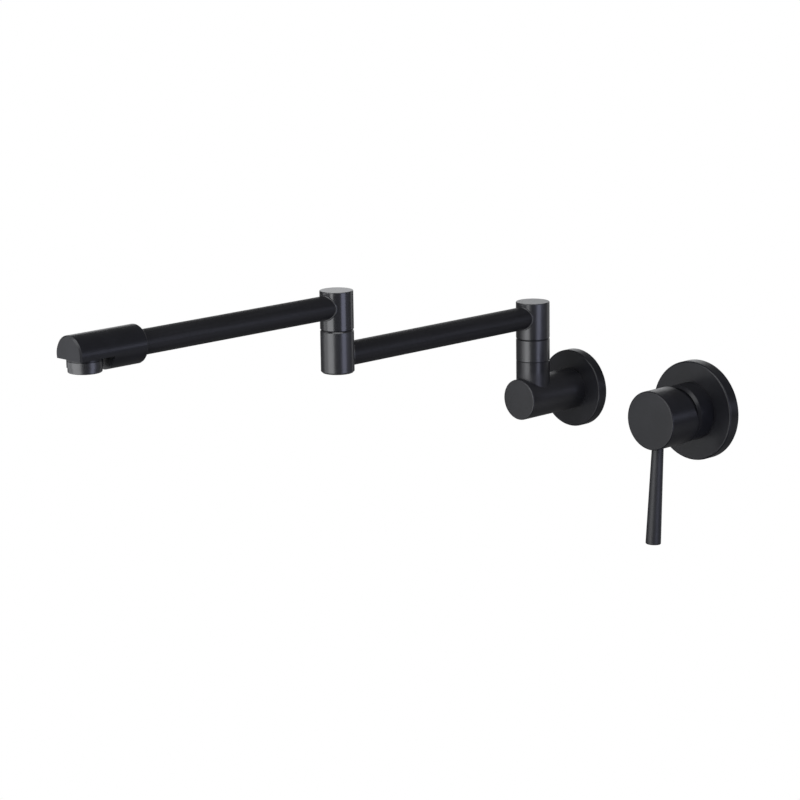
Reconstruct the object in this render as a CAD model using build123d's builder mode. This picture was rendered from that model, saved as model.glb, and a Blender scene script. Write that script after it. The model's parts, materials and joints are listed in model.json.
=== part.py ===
from build123d import *
import os
from math import cos, radians, sin, tan

# A wall-mounted pot filler: a swing spout with two swivels, and a lever mixer beside it.
# Sizes are in millimetres. +X runs to the right along the wall, +Y into the wall and +Z up.
# The wall's face is the plane y = 0, and the spout's inlet runs along Y through the origin.
# A depth is measured from the wall's face towards the room, and is negative inside the wall.

os.makedirs("parts", exist_ok=True)

# Clearances
seat_play = 0.05  # between pieces that are screwed, brazed or clipped together
turn_play = 0.1  # between a turning piece and what it turns on
face_play = 0.3  # between moving pieces that only pass each other
ceramic_play = 0.05  # between the two lapped ceramic discs

# Wall covers
cover_rim = 2.4
cover_face = 3.0
gasket_w = 4.0

# Spout flange, inlet nipple and post
flange_d = 61.3
flange_t = 8.3
flange_edge = 1.0
hub_wall = 4.4
nipple_d = 20.95
nipple_bore_d = 15.0
nipple_in_wall = 16.0
nipple_relief = 0.4
post_thread = 14.0
nipple_washer_t = 2.0
post_d = 32.0
post_front = 68.4
post_edge = 0.9
water_d = 11.0

# Column and its swivel
column_out = 51.9
column_d = 26.3
collar_h = 17.0
collar_wall = 2.6
spindle_d = 16.0
spindle_bore_d = 9.6
spindle_thread = 9.1
spindle_flange_w = 1.6
spindle_flange_t = 3.5
gland_w = 2.3
gland_t = 3.6
seal_d = 1.5
seal_room = 0.3
seam_gap = 0.6
seam_chamfer = 0.35
washer_setback = 1.2
chamber_web = 0.5

# Arms and elbow
tube_d = 17.9
tube_wall = 1.5
tube_seat = 6.0  # from a swivel's axis to the end of the tube
lower_arm_z = 64.1
arm_reach = 209.6
shoulder_cap = 2.9
elbow_d = 24.7
elbow_cap = 2.8
elbow_floor = 3.2
elbow_web = 1.5
cap_edge = 0.5
elbow_lip_chamfer = 0.9
elbow_foot_chamfer = 1.2

# Spout head
head_d = 27.5
head_start = 188.8
head_len = 58.3
head_socket = 14.0
head_chamfer = 1.2
head_rear_edge = 0.8
flat_drop = 5.0
flat_len = 32.6
outlet_set = 13.8
passage_d = 10.0
passage_rise = 4.6
boss_d = 24.8
boss_h = 4.4

# Aerator
aerator_d = 22.7
aerator_h = 3.6
aerator_edge = 0.8
aerator_thread_d = 21.0
aerator_thread = 7.4
aerator_wall = 1.0
aerator_lip_w = 0.7
aerator_lip_t = 0.8
aerator_washer_t = 1.4
aerator_washer_w = 2.2
comb_t = 3.0
comb_cell = 2.2
comb_web = 0.4
former_wall = 0.9
former_plate_t = 1.4
former_jets = 10
former_jet_d = 1.8
screen_t = 0.8
screen_hole_d = 1.6
screen_pitch = 2.7

# Mixer plate, sleeve, handle and lever
mixer_x = 125.6
plate_d = 76.7
plate_t = 9.6
plate_edge = 1.2
plate_hub_wall = 4.2
plate_seal_d = 1.8
handle_d = 45.3
handle_len = 29.9
handle_edge = 1.0
handle_wall = 2.85
handle_cup = 13.0
handle_gap = 2.0
relief_angle = 14.0
relief_drop = 3.0
sleeve_setback = 0.45
sleeve_wall = 1.6
sleeve_lip_t = 1.8
sleeve_lip_w = 1.0
sleeve_edge = 2.0
sleeve_back = 1.0
lever_root_d = 9.06
lever_tip_d = 11.83
lever_reach = 96.7
lever_lean = 3.7
lever_set = 10.45
lever_seat = 3.0
lever_edge = 1.0
lever_stud_d = 6.0
lever_stud = 10.0

# Valve body and cartridge
lift_angle = 20.0
body_set = 9.0  # from the wall's face to the floor of the cup, inside the wall
body_floor = 8.0
body_wall = 1.35
body_setback = 1.0
tail_d = 10.0
tail_len = 8.0
tail_thread_d = 9.2
tail_thread = 5.0
port_d = 6.4
port_edge = 6.2
inlet_spread = 60.0  # angle of each inlet port from straight down
port_seal_w = 1.6
port_seal_t = 1.6
nut_wall = 1.6
nut_thread = 10.5
nut_lip_t = 2.4
nut_collar_taper = 1.5
cartridge_play = 0.2
seal_stand = 0.3
cartridge_base_t = 6.1
fixed_disc_t = 5.0
moving_disc_t = 4.0
housing_wall = 1.6
housing_ledge = 3.8
neck_wall = 2.3
driver_t = 4.6
carrier_flange_t = 2.7
carrier_above = 4.0
mix_hollow_d = 15.0
mix_hollow = 2.0
stem_w = 8.0
stem_up = 21.0
stem_down = 4.5
finger_len = 16.85
finger_d = 3.4
finger_tip_d = 4.8
pin_d = 3.0
pin_inset = 0.8
stem_boss_wall = 4.4
stem_boss = 6.0
grub_d = 4.0
grub_hex = 2.0
grub_hex_depth = 2.0
grub_set = 3.0  # from the floor of the handle's cup to the grub screw
plug_d = 5.8
plug_inset = 0.25

# Spout: radii, heights and depths worked out from the sizes above
tube_r = tube_d / 2
tube_bore_r = tube_r - tube_wall
shank_r = spindle_d / 2
spindle_flange_r = shank_r + spindle_flange_w
chamber_r = spindle_flange_r + turn_play
chamber_h = gland_t + spindle_flange_t + 2 * turn_play
gland_r = shank_r + turn_play + gland_w
seam_drop = tube_r + seat_play + chamber_web + chamber_h
upper_arm_z = lower_arm_z + tube_r + elbow_web + spindle_thread + seam_gap + seam_drop
elbow_out = column_out + arm_reach
collar_top = lower_arm_z - seam_drop - seam_gap
stub_top = collar_top - collar_h
spigot_r = column_d / 2 - collar_wall
post_socket_floor = flange_t + post_thread + nipple_washer_t
head_back = elbow_out + head_start
head_front = head_back + head_len
outlet_out = head_front - outlet_set
flat_z = upper_arm_z - flat_drop
boss_z = flat_z - boss_h
aerator_bore_r = aerator_thread_d / 2 - aerator_wall
comb_z = boss_z - aerator_h + aerator_lip_t
former_z = comb_z + comb_t
screen_z = boss_z + aerator_thread - screen_t
washer_z = boss_z + aerator_thread

# Mixer: depths worked out from the sizes above, in order from the wall outwards
base_back = seal_stand - body_set
base_front = base_back + cartridge_base_t
fixed_disc_front = base_front + fixed_disc_t
moving_disc_back = fixed_disc_front + ceramic_play
moving_disc_front = moving_disc_back + moving_disc_t
driver_front = moving_disc_front + driver_t
carrier_back = driver_front + face_play
ledge_back = carrier_back + carrier_flange_t + turn_play
finger_tip = moving_disc_front + face_play + finger_tip_d / 2
pivot = finger_tip + finger_len
neck_front = pivot + carrier_above
sleeve_front = pivot
nut_front = sleeve_front - sleeve_lip_t - face_play
shoulder = nut_front - nut_lip_t
body_front = shoulder - body_setback
handle_rear = sleeve_front + handle_gap
handle_front = handle_rear + handle_len
cup_floor = handle_rear + handle_cup
lever_depth = handle_front - lever_set
grub_depth = cup_floor - grub_set

# Mixer: radii, in order from the handle inwards
handle_r = handle_d / 2
sleeve_r = handle_r - sleeve_setback
nut_r = sleeve_r - sleeve_wall - seat_play
body_r = nut_r - nut_wall
cavity_r = body_r - body_wall
cartridge_r = cavity_r - cartridge_play
housing_bore_r = cartridge_r - housing_wall
fixed_disc_r = housing_bore_r - cartridge_play
neck_bore_r = housing_bore_r - housing_ledge
carrier_r = neck_bore_r - turn_play
neck_r = neck_bore_r + neck_wall
sleeve_mouth_r = sleeve_r - sleeve_wall - sleeve_lip_w
disc_travel = finger_len * radians(lift_angle)
moving_disc_r = housing_bore_r - disc_travel / 2 - face_play
disc_rise = disc_travel / 2
port_pitch_r = fixed_disc_r - port_edge
stem_boss_r = stem_w / 2 + stem_boss_wall


def wall_plane(x, z, depth):
    """Plane at a depth in front of the wall, facing the room, with its Y axis up."""
    return Plane(origin=(x, -depth, z), x_dir=(1, 0, 0), z_dir=(0, -1, 0))


def level_plane(out, height):
    """Level plane, facing up, on the spout's line at a distance out from the wall."""
    return Plane(origin=(0, -out, height))


def turning_plane(x):
    """Plane for half profiles turned about a line square to the wall: radius, depth."""
    return Plane(origin=(x, 0, 0), x_dir=(0, 0, 1), z_dir=(1, 0, 0))


inlet_axis = Axis((0, 0, 0), (0, -1, 0))
mixer_axis = Axis((mixer_x, 0, 0), (0, -1, 0))
outlet_axis = Axis((0, -outlet_out, 0), (0, 0, 1))

# Spout flange: a hollow cover whose hub is clamped between the wall and the post
flange_r = flange_d / 2
nipple_r = nipple_d / 2
flange_bore_r = nipple_r + seat_play
with BuildPart() as spout_flange:
    with BuildSketch(turning_plane(0)):
        with BuildLine():
            Polyline(
                (flange_bore_r, 0),
                (flange_bore_r + hub_wall, 0),
                (flange_bore_r + hub_wall, flange_t - cover_face),
                (flange_r - cover_rim, flange_t - cover_face),
                (flange_r - cover_rim, 0),
                (flange_r, 0),
                (flange_r, flange_t),
                (flange_bore_r, flange_t),
                close=True,
            )
        make_face()
    revolve(axis=inlet_axis)
    fillet(spout_flange.edges().group_by(Axis.Y)[0].sort_by(SortBy.RADIUS)[-1], radius=flange_edge)
spout_flange.part.label = "spout_flange"
export_step(spout_flange.part, "parts/spout_flange.step")

# Foam ring in the hollow of the flange
with BuildPart() as flange_gasket:
    with BuildSketch(wall_plane(0, 0, 0)):
        Circle(flange_r - cover_rim - seat_play)
        Circle(flange_r - cover_rim - gasket_w, mode=Mode.SUBTRACT)
    extrude(amount=flange_t - cover_face)
flange_gasket.part.label = "flange_gasket"
export_step(flange_gasket.part, "parts/flange_gasket.step")

# Inlet nipple: one thread for the pipe in the wall, one for the post, and a relief between them
with BuildPart() as wall_nipple:
    with BuildSketch(turning_plane(0)):
        with BuildLine():
            Polyline(
                (nipple_bore_d / 2, -nipple_in_wall),
                (nipple_r, -nipple_in_wall),
                (nipple_r, 0),
                (nipple_r - nipple_relief, 0),
                (nipple_r - nipple_relief, flange_t),
                (nipple_r, flange_t),
                (nipple_r, flange_t + post_thread),
                (nipple_bore_d / 2, flange_t + post_thread),
                close=True,
            )
        make_face()
    revolve(axis=inlet_axis)
wall_nipple.part.label = "wall_nipple"
export_step(wall_nipple.part, "parts/wall_nipple.step")

# Sealing washer between the nipple's end and the floor of the post's socket
with BuildPart() as nipple_washer:
    with BuildSketch(wall_plane(0, 0, flange_t + post_thread)):
        Circle(nipple_r - nipple_relief)
        Circle(nipple_bore_d / 2, mode=Mode.SUBTRACT)
    extrude(amount=nipple_washer_t)
nipple_washer.part.label = "nipple_washer"
export_step(nipple_washer.part, "parts/nipple_washer.step")

# Post: the horizontal barrel and the fixed stub of the column, with the water's way through both
with BuildPart() as base_post:
    with BuildSketch(wall_plane(0, 0, flange_t)):
        Circle(post_d / 2)
    extrude(amount=post_front - flange_t)
    fillet(base_post.edges().group_by(Axis.Y)[0], radius=post_edge)
    with BuildSketch(level_plane(column_out, 0)):
        Circle(column_d / 2)
    extrude(amount=stub_top)
    chamfer(base_post.edges().group_by(Axis.Z)[-1], length=seam_chamfer)
    with BuildSketch(level_plane(column_out, stub_top)):
        Circle(spigot_r)
    extrude(amount=collar_h)
    with BuildSketch(wall_plane(0, 0, flange_t)):
        Circle(nipple_r + seat_play)
    extrude(amount=post_socket_floor - flange_t, mode=Mode.SUBTRACT)
    with BuildSketch(wall_plane(0, 0, post_socket_floor)):
        Circle(water_d / 2)
    extrude(amount=column_out + water_d / 2 - post_socket_floor, mode=Mode.SUBTRACT)
    with BuildSketch(level_plane(column_out, 0)):
        Circle(water_d / 2)
    extrude(amount=collar_top, mode=Mode.SUBTRACT)
    with BuildSketch(level_plane(column_out, collar_top)):
        Circle(shank_r + seat_play)
    extrude(amount=-spindle_thread, mode=Mode.SUBTRACT)
base_post.part.label = "base_post"
export_step(base_post.part, "parts/base_post.step")

# Collar over the spigot of the stub
with BuildPart() as base_collar:
    with BuildSketch(level_plane(column_out, stub_top)):
        Circle(column_d / 2)
        Circle(spigot_r + seat_play, mode=Mode.SUBTRACT)
    extrude(amount=collar_h)
    chamfer(base_collar.edges().filter_by(GeomType.CIRCLE).group_by(SortBy.RADIUS)[-1], length=seam_chamfer)
base_collar.part.label = "base_collar"
export_step(base_collar.part, "parts/base_collar.step")

# Shoulder and elbow swivels: each head turns on a hollow spindle, which a gland ring keeps in it
swivels = (
    ("shoulder", column_out, lower_arm_z, column_d / 2, shoulder_cap),
    ("elbow", elbow_out, upper_arm_z, elbow_d / 2, elbow_cap),
)
for joint, out, arm_z, radius, cap in swivels:
    seam = arm_z - seam_drop
    spindle_flange_z = gland_t + turn_play
    groove_h = seal_d + seal_room
    groove_z = spindle_flange_z + (spindle_flange_t - groove_h) / 2
    groove_r = spindle_flange_r - seal_d

    # Head: a closed column with the swivel's chamber below and the socket of the arm in front
    with BuildPart() as head:
        with BuildSketch(level_plane(out, seam)):
            Circle(radius)
        extrude(amount=seam_drop + tube_r + cap)
        fillet(head.edges().group_by(Axis.Z)[-1], radius=cap_edge)
        chamfer(head.edges().group_by(Axis.Z)[0], length=seam_chamfer)
        with BuildSketch(level_plane(out, seam)):
            Circle(gland_r + seat_play)
        extrude(amount=gland_t, mode=Mode.SUBTRACT)
        with BuildSketch(level_plane(out, seam)):
            Circle(chamber_r)
        extrude(amount=chamber_h, mode=Mode.SUBTRACT)
        with BuildSketch(level_plane(out, seam)):
            Circle(water_d / 2)
        extrude(amount=seam_drop, mode=Mode.SUBTRACT)
        with BuildSketch(wall_plane(0, arm_z, out)):
            Circle(tube_bore_r)
        extrude(amount=radius, mode=Mode.SUBTRACT)
        with BuildSketch(wall_plane(0, arm_z, out + tube_seat)):
            Circle(tube_r + seat_play)
        extrude(amount=radius, mode=Mode.SUBTRACT)
    head.part.label = f"{joint}_head"
    export_step(head.part, f"parts/{joint}_head.step")

    # Spindle: a threaded shank, and a flange with the groove of the seal
    with BuildPart() as spindle:
        with BuildSketch(wall_plane(0, seam, out)):
            with BuildLine():
                Polyline(
                    (spindle_bore_d / 2, -seam_gap - spindle_thread),
                    (shank_r, -seam_gap - spindle_thread),
                    (shank_r, spindle_flange_z),
                    (spindle_flange_r, spindle_flange_z),
                    (spindle_flange_r, groove_z),
                    (groove_r, groove_z),
                    (groove_r, groove_z + groove_h),
                    (spindle_flange_r, groove_z + groove_h),
                    (spindle_flange_r, spindle_flange_z + spindle_flange_t),
                    (spindle_bore_d / 2, spindle_flange_z + spindle_flange_t),
                    close=True,
                )
            make_face()
        revolve(axis=Axis((0, -out, 0), (0, 0, 1)))
    spindle.part.label = f"{joint}_spindle"
    export_step(spindle.part, f"parts/{joint}_spindle.step")

    # Seal in the spindle's groove
    with BuildPart(level_plane(out, seam + groove_z + groove_h / 2)) as o_ring:
        Torus(groove_r + seal_d / 2, seal_d / 2 - seat_play)
    o_ring.part.label = f"{joint}_o_ring"
    export_step(o_ring.part, f"parts/{joint}_o_ring.step")

    # Gland ring, screwed into the head below the spindle's flange
    with BuildPart() as gland_ring:
        with BuildSketch(level_plane(out, seam)):
            Circle(gland_r)
            Circle(shank_r + turn_play, mode=Mode.SUBTRACT)
        extrude(amount=gland_t)
    gland_ring.part.label = f"{joint}_gland_ring"
    export_step(gland_ring.part, f"parts/{joint}_gland_ring.step")

    # Thrust washer in the seam, which carries the head
    with BuildPart() as thrust_washer:
        with BuildSketch(level_plane(out, seam - seam_gap)):
            Circle(radius - washer_setback)
            Circle(shank_r + seat_play, mode=Mode.SUBTRACT)
        extrude(amount=seam_gap - turn_play)
    thrust_washer.part.label = f"{joint}_washer"
    export_step(thrust_washer.part, f"parts/{joint}_washer.step")

# Lower half of the elbow: it takes the lower arm from the wall's side and the spindle from above
elbow_foot = lower_arm_z - tube_r - elbow_floor
elbow_lip = upper_arm_z - seam_drop - seam_gap
with BuildPart() as elbow_base:
    with BuildSketch(level_plane(elbow_out, elbow_foot)):
        Circle(elbow_d / 2)
    extrude(amount=elbow_lip - elbow_foot)
    chamfer(elbow_base.edges().group_by(Axis.Z)[-1], length=elbow_lip_chamfer)
    chamfer(elbow_base.edges().group_by(Axis.Z)[0], length=elbow_foot_chamfer)
    with BuildSketch(level_plane(elbow_out, elbow_lip)):
        Circle(shank_r + seat_play)
    extrude(amount=-spindle_thread, mode=Mode.SUBTRACT)
    with BuildSketch(level_plane(elbow_out, elbow_lip)):
        Circle(water_d / 2)
    extrude(amount=lower_arm_z - elbow_lip, mode=Mode.SUBTRACT)
    with BuildSketch(wall_plane(0, lower_arm_z, elbow_out)):
        Circle(tube_bore_r)
    extrude(amount=-elbow_d / 2, mode=Mode.SUBTRACT)
    with BuildSketch(wall_plane(0, lower_arm_z, elbow_out - tube_seat)):
        Circle(tube_r + seat_play)
    extrude(amount=-elbow_d / 2, mode=Mode.SUBTRACT)
elbow_base.part.label = "elbow_base"
export_step(elbow_base.part, "parts/elbow_base.step")

# Arm tubes
arms = (
    ("lower_arm_tube", lower_arm_z, column_out + tube_seat, elbow_out - tube_seat),
    ("upper_arm_tube", upper_arm_z, elbow_out + tube_seat, head_back + head_socket),
)
for label, arm_z, start, end in arms:
    with BuildPart() as tube:
        with BuildSketch(wall_plane(0, arm_z, start)):
            Circle(tube_r)
            Circle(tube_bore_r, mode=Mode.SUBTRACT)
        extrude(amount=end - start)
    tube.part.label = label
    export_step(tube.part, f"parts/{label}.step")

# Spout head: a round barrel, cut flat below its front half, with the boss of the aerator
with BuildPart() as spout_head:
    with BuildSketch(wall_plane(0, upper_arm_z, head_back)):
        Circle(head_d / 2)
    extrude(amount=head_len)
    chamfer(spout_head.edges().group_by(Axis.Y)[0], length=head_chamfer)
    fillet(spout_head.edges().group_by(Axis.Y)[-1], radius=head_rear_edge)
    with BuildSketch(level_plane(head_front - flat_len / 2, flat_z)):
        Rectangle(head_d, flat_len)
    extrude(amount=-head_d / 2, mode=Mode.SUBTRACT)
    with BuildSketch(level_plane(outlet_out, flat_z)):
        Circle(boss_d / 2)
    extrude(amount=-boss_h)
    with BuildSketch(wall_plane(0, upper_arm_z, head_back)):
        Circle(tube_r + seat_play)
    extrude(amount=head_socket, mode=Mode.SUBTRACT)
    with BuildSketch(wall_plane(0, upper_arm_z + passage_rise, head_back + head_socket)):
        Circle(passage_d / 2)
    extrude(amount=head_len - head_socket - outlet_set, mode=Mode.SUBTRACT)
    with BuildSketch(level_plane(outlet_out, boss_z)):
        Circle(aerator_thread_d / 2 + seat_play)
    extrude(amount=aerator_thread + aerator_washer_t, mode=Mode.SUBTRACT)
    with BuildSketch(level_plane(outlet_out, boss_z)):
        Circle(aerator_thread_d / 2 - aerator_washer_w)
    extrude(amount=upper_arm_z + passage_rise - boss_z, mode=Mode.SUBTRACT)
spout_head.part.label = "spout_head"
export_step(spout_head.part, "parts/spout_head.step")

# Aerator housing: a ring below the boss, its thread inside it, and a lip that holds the inserts
with BuildPart() as aerator_housing:
    with BuildSketch(wall_plane(0, boss_z, outlet_out)):
        with BuildLine():
            Polyline(
                (aerator_bore_r - aerator_lip_w, -aerator_h),
                (aerator_d / 2, -aerator_h),
                (aerator_d / 2, 0),
                (aerator_thread_d / 2, 0),
                (aerator_thread_d / 2, aerator_thread),
                (aerator_bore_r, aerator_thread),
                (aerator_bore_r, aerator_lip_t - aerator_h),
                (aerator_bore_r - aerator_lip_w, aerator_lip_t - aerator_h),
                close=True,
            )
        make_face()
    revolve(axis=outlet_axis)
    fillet(
        aerator_housing.edges().group_by(Axis.Z)[0].sort_by(SortBy.RADIUS)[-1],
        radius=aerator_edge,
    )
aerator_housing.part.label = "aerator_housing"
export_step(aerator_housing.part, "parts/aerator_housing.step")

# Honeycomb that straightens the stream
comb_r = aerator_bore_r - seat_play
comb_pitch = comb_cell + comb_web
comb_rows = 2 * round(comb_r / comb_pitch) + 1
comb_cells = [
    cell
    for cell in HexLocations(comb_pitch / 2, comb_rows, comb_rows).local_locations
    if cell.position.length < comb_r - comb_cell
]
with BuildPart() as aerator_honeycomb:
    with BuildSketch(level_plane(outlet_out, comb_z)):
        Circle(comb_r)
        with Locations(*comb_cells):
            RegularPolygon(comb_cell / 2, 6, major_radius=False, rotation=30, mode=Mode.SUBTRACT)
    extrude(amount=comb_t)
aerator_honeycomb.part.label = "aerator_honeycomb"
export_step(aerator_honeycomb.part, "parts/aerator_honeycomb.step")

# Flow former: a cup whose plate splits the stream into jets
with BuildPart() as aerator_insert:
    with BuildSketch(level_plane(outlet_out, former_z)):
        Circle(comb_r)
        Circle(comb_r - former_wall, mode=Mode.SUBTRACT)
    extrude(amount=screen_z - former_z)
    with BuildSketch(level_plane(outlet_out, screen_z - former_plate_t)):
        Circle(comb_r)
        with PolarLocations(comb_r - former_wall - former_jet_d, former_jets):
            Circle(former_jet_d / 2, mode=Mode.SUBTRACT)
    extrude(amount=former_plate_t)
aerator_insert.part.label = "aerator_insert"
export_step(aerator_insert.part, "parts/aerator_insert.step")

# Strainer on top of the flow former
screen_rows = 2 * round(comb_r / screen_pitch) + 1
screen_holes = [
    hole
    for hole in HexLocations(screen_pitch / 2, screen_rows, screen_rows).local_locations
    if hole.position.length < comb_r - screen_pitch / 2
]
with BuildPart() as aerator_screen:
    with BuildSketch(level_plane(outlet_out, screen_z)):
        Circle(comb_r)
        with Locations(*screen_holes):
            RegularPolygon(screen_hole_d / 2, 6, mode=Mode.SUBTRACT)
    extrude(amount=screen_t)
aerator_screen.part.label = "aerator_screen"
export_step(aerator_screen.part, "parts/aerator_screen.step")

# Rubber washer between the aerator and its seat
with BuildPart() as aerator_washer:
    with BuildSketch(level_plane(outlet_out, washer_z)):
        Circle(aerator_thread_d / 2)
        Circle(aerator_thread_d / 2 - aerator_washer_w, mode=Mode.SUBTRACT)
    extrude(amount=aerator_washer_t)
aerator_washer.part.label = "aerator_washer"
export_step(aerator_washer.part, "parts/aerator_washer.step")

# Mixer plate: a hollow cover that slides on the sleeve, with a groove for its seal
plate_r = plate_d / 2
plate_bore_r = sleeve_r + turn_play
plate_groove_r = plate_bore_r + plate_seal_d
plate_groove_w = plate_seal_d + seal_room
plate_groove_mid = plate_t / 2
with BuildPart() as mixer_plate:
    with BuildSketch(turning_plane(mixer_x)):
        with BuildLine():
            Polyline(
                (plate_bore_r, 0),
                (plate_bore_r + plate_hub_wall, 0),
                (plate_bore_r + plate_hub_wall, plate_t - cover_face),
                (plate_r - cover_rim, plate_t - cover_face),
                (plate_r - cover_rim, 0),
                (plate_r, 0),
                (plate_r, plate_t),
                (plate_bore_r, plate_t),
                (plate_bore_r, plate_groove_mid + plate_groove_w / 2),
                (plate_groove_r, plate_groove_mid + plate_groove_w / 2),
                (plate_groove_r, plate_groove_mid - plate_groove_w / 2),
                (plate_bore_r, plate_groove_mid - plate_groove_w / 2),
                close=True,
            )
        make_face()
    revolve(axis=mixer_axis)
    fillet(mixer_plate.edges().group_by(Axis.Y)[0].sort_by(SortBy.RADIUS)[-1], radius=plate_edge)
mixer_plate.part.label = "mixer_plate"
export_step(mixer_plate.part, "parts/mixer_plate.step")

# Foam ring in the hollow of the plate
with BuildPart() as plate_gasket:
    with BuildSketch(wall_plane(mixer_x, 0, 0)):
        Circle(plate_r - cover_rim - seat_play)
        Circle(plate_r - cover_rim - gasket_w, mode=Mode.SUBTRACT)
    extrude(amount=plate_t - cover_face)
plate_gasket.part.label = "plate_gasket"
export_step(plate_gasket.part, "parts/plate_gasket.step")

# Seal that grips the sleeve
with BuildPart(wall_plane(mixer_x, 0, plate_groove_mid)) as plate_o_ring:
    Torus(plate_groove_r - plate_seal_d / 2, plate_seal_d / 2 - seat_play)
plate_o_ring.part.label = "plate_o_ring"
export_step(plate_o_ring.part, "parts/plate_o_ring.step")

# Sleeve round the valve, with a bevelled front edge and a lip over the nut
sleeve_bore_r = sleeve_r - sleeve_wall
with BuildPart() as mixer_sleeve:
    with BuildSketch(turning_plane(mixer_x)):
        with BuildLine():
            Polyline(
                (sleeve_bore_r, sleeve_back),
                (sleeve_r, sleeve_back),
                (sleeve_r, sleeve_front - sleeve_edge),
                (sleeve_r - sleeve_edge, sleeve_front),
                (sleeve_mouth_r, sleeve_front),
                (sleeve_mouth_r, sleeve_front - sleeve_lip_t),
                (sleeve_bore_r, sleeve_front - sleeve_lip_t),
                close=True,
            )
        make_face()
    revolve(axis=mixer_axis)
mixer_sleeve.part.label = "mixer_sleeve"
export_step(mixer_sleeve.part, "parts/mixer_sleeve.step")

# Ports of the mixer: hot on the left, cold on the right, mixed water above
port_angles = (270 - inlet_spread, 270 + inlet_spread, 90)
ports = [
    (port_pitch_r * cos(radians(angle)), port_pitch_r * sin(radians(angle)))
    for angle in port_angles
]

# Valve body: a cup for the cartridge, with three threaded sockets in its back
body_back = -body_set - body_floor
with BuildPart() as valve_body:
    with BuildSketch(wall_plane(mixer_x, 0, body_back)):
        Circle(body_r)
    extrude(amount=body_front - body_back)
    with BuildSketch(wall_plane(mixer_x, 0, -body_set)):
        Circle(cavity_r)
    extrude(amount=body_set + body_front, mode=Mode.SUBTRACT)
    with BuildSketch(wall_plane(mixer_x, 0, -body_set)):
        with Locations(*ports):
            Circle(port_d / 2)
    extrude(amount=-body_floor, mode=Mode.SUBTRACT)
    with BuildSketch(wall_plane(mixer_x, 0, body_back)):
        with Locations(*ports):
            Circle(tail_thread_d / 2 + seat_play)
    extrude(amount=tail_thread, mode=Mode.SUBTRACT)
valve_body.part.label = "valve_body"
export_step(valve_body.part, "parts/valve_body.step")

# Tails, screwed into the valve body, that the pipes in the wall screw on
for label, (tail_x, tail_z) in zip(("hot_tail", "cold_tail", "mixed_tail"), ports):
    with BuildPart() as tail:
        with BuildSketch(wall_plane(mixer_x + tail_x, tail_z, body_back)):
            Circle(tail_d / 2)
        extrude(amount=-tail_len)
        with BuildSketch(wall_plane(mixer_x + tail_x, tail_z, body_back)):
            Circle(tail_thread_d / 2)
        extrude(amount=tail_thread)
        with BuildSketch(wall_plane(mixer_x + tail_x, tail_z, body_back + tail_thread)):
            Circle(port_d / 2)
        extrude(amount=-tail_thread - tail_len, mode=Mode.SUBTRACT)
    tail.part.label = label
    export_step(tail.part, f"parts/{label}.step")

# Base of the cartridge, with a pocket for the seal round each port
with BuildPart() as cartridge_base:
    with BuildSketch(wall_plane(mixer_x, 0, base_back)):
        Circle(cartridge_r)
        with Locations(*ports):
            Circle(port_d / 2, mode=Mode.SUBTRACT)
    extrude(amount=cartridge_base_t)
    with BuildSketch(wall_plane(mixer_x, 0, base_back)):
        with Locations(*ports):
            Circle(port_d / 2 + port_seal_w + seat_play)
    extrude(amount=port_seal_t - seal_stand, mode=Mode.SUBTRACT)
cartridge_base.part.label = "cartridge_base"
export_step(cartridge_base.part, "parts/cartridge_base.step")

# Seals under the cartridge, which stand proud of it
with BuildPart() as port_seals:
    with BuildSketch(wall_plane(mixer_x, 0, -body_set)):
        with Locations(*ports):
            Circle(port_d / 2 + port_seal_w)
            Circle(port_d / 2, mode=Mode.SUBTRACT)
    extrude(amount=port_seal_t)
port_seals.part.label = "port_seals"
export_step(port_seals.part, "parts/port_seals.step")

# Fixed ceramic disc
with BuildPart() as fixed_disc:
    with BuildSketch(wall_plane(mixer_x, 0, base_front)):
        Circle(fixed_disc_r)
        with Locations(*ports):
            Circle(port_d / 2, mode=Mode.SUBTRACT)
    extrude(amount=fixed_disc_t)
fixed_disc.part.label = "fixed_disc"
export_step(fixed_disc.part, "parts/fixed_disc.step")

# Housing of the cartridge: a wide cup for the discs, and a neck that the carrier turns in
with BuildPart() as cartridge_housing:
    with BuildSketch(turning_plane(mixer_x)):
        with BuildLine():
            Polyline(
                (housing_bore_r, base_front),
                (cartridge_r, base_front),
                (cartridge_r, shoulder),
                (neck_r, shoulder),
                (neck_r, neck_front),
                (neck_bore_r, neck_front),
                (neck_bore_r, ledge_back),
                (housing_bore_r, ledge_back),
                close=True,
            )
        make_face()
    revolve(axis=mixer_axis)
cartridge_housing.part.label = "cartridge_housing"
export_step(cartridge_housing.part, "parts/cartridge_housing.step")

# Nut: it screws over the valve body, presses on the cartridge's shoulder and rings its neck
nut_bore_r = body_r + seat_play
nut_mouth_r = neck_r + face_play
nut_collar_r = sleeve_mouth_r - face_play
with BuildPart() as cartridge_nut:
    with BuildSketch(turning_plane(mixer_x)):
        with BuildLine():
            Polyline(
                (nut_bore_r, body_front - nut_thread),
                (nut_r, body_front - nut_thread),
                (nut_r, nut_front),
                (nut_collar_r, nut_front),
                (nut_collar_r - nut_collar_taper, neck_front - face_play),
                (nut_mouth_r, neck_front - face_play),
                (nut_mouth_r, shoulder),
                (nut_bore_r, shoulder),
                close=True,
            )
        make_face()
    revolve(axis=mixer_axis)
cartridge_nut.part.label = "cartridge_nut"
export_step(cartridge_nut.part, "parts/cartridge_nut.step")

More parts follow.
